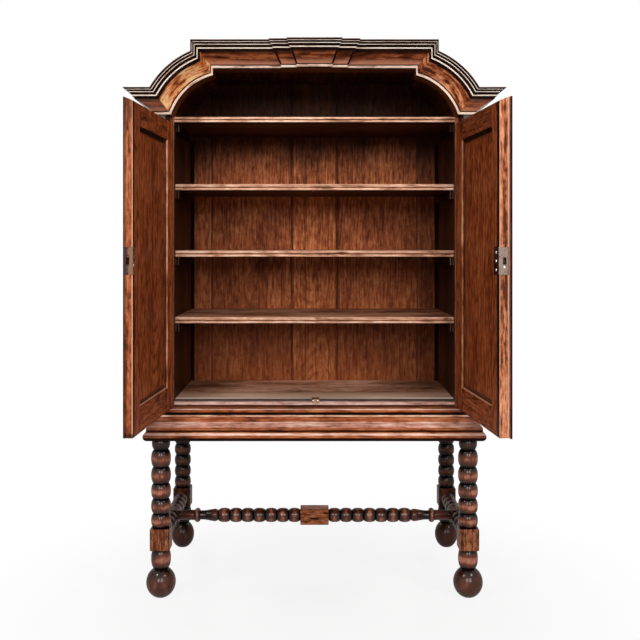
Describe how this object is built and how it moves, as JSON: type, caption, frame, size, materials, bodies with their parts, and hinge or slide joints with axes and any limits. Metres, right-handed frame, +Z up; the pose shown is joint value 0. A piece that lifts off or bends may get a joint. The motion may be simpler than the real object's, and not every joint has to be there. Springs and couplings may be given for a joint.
{
  "type": "cabinet on stand",
  "caption": "Two-door oak cabinet with shelves, a shaped arched cornice and open niche, on a bobbin-turned stand with ball feet and stretchers.",
  "frame": {"origin": "on the floor, in the middle of the box around the cabinet with its doors open as in the picture", "axes": "+Z up, front towards -Y, +X to the right as seen from the front"},
  "size_m": [1.274, 1.0712, 1.8903],
  "materials": {
    "oak": "waxed old red-brown oak",
    "dark_oak": "polished near-black turned oak",
    "golden_oak": "polished golden-brown oak",
    "dusty_oak": "worn grey-brown oak",
    "iron": "dark wrought iron",
    "steel": "worn grey steel"
  },
  "bodies": {
    "cabinet": {"back_board_edge_left": "oak", "back_board_edge_right": "oak", "back_board_middle": "oak", "back_board_wide_left": "oak", "back_board_wide_right": "oak", "bottom_board": "dusty_oak", "cornice_arch_left": "golden_oak", "cornice_arch_right": "golden_oak", "cornice_end_left": "golden_oak", "cornice_end_right": "golden_oak", "cornice_flat": "golden_oak", "cornice_return_left": "golden_oak", "cornice_return_right": "golden_oak", "cross_stretcher": "dark_oak", "foot_front_left": "dark_oak", "foot_front_right": "dark_oak", "foot_rear_left": "dark_oak", "foot_rear_right": "dark_oak", "keystone": "golden_oak", "leg_front_left": "dark_oak", "leg_front_right": "dark_oak", "leg_rear_left": "dark_oak", "leg_rear_right": "dark_oak", "plinth_front": "oak", "plinth_left": "oak", "plinth_right": "oak", "roof_left": "oak", "roof_middle": "oak", "roof_right": "oak", "shelf_bearer_left": "oak", "shelf_bearer_right": "oak", "shelf_head": "dusty_oak", "shelf_lower": "dusty_oak", "shelf_middle": "dusty_oak", "shelf_upper": "dusty_oak", "side_left": "oak", "side_right": "oak", "side_stretcher_left": "dark_oak", "side_stretcher_right": "dark_oak", "stand_rail_back": "oak", "stand_rail_front": "oak", "stand_rail_left": "oak", "stand_rail_right": "oak"},
    "left_door": {"door_left_bottom_pin": "iron", "door_left_bottom_rail": "oak", "door_left_hinge_stile": "oak", "door_left_meeting_stile": "oak", "door_left_panel": "oak", "door_left_top_pin": "iron", "door_left_top_rail": "oak", "strike_plate": "steel"},
    "right_door": {"door_right_bottom_pin": "iron", "door_right_bottom_rail": "oak", "door_right_hinge_stile": "oak", "door_right_meeting_stile": "oak", "door_right_panel": "oak", "door_right_top_pin": "iron", "door_right_top_rail": "oak", "lock_case": "iron"},
    "bolt": {"lock_bolt": "steel"}
  },
  "joints": [
    {"name": "left_door_swing", "type": "hinge", "parent": "cabinet", "child": "left_door", "pos_m": [-0.5015, -0.02468, 1.143], "axis": [0, 0, -1], "range_deg": [-94.2, 75.8]},
    {"name": "right_door_swing", "type": "hinge", "parent": "cabinet", "child": "right_door", "pos_m": [0.5015, -0.02468, 1.143], "axis": [0, 0, 1], "range_deg": [-95.3, 74.7]},
    {"name": "lock_bolt_slide", "type": "slide", "parent": "right_door", "child": "bolt", "axis": [0.0924, -0.9957, 0], "range_m": [0, 0.015]}
  ]
}
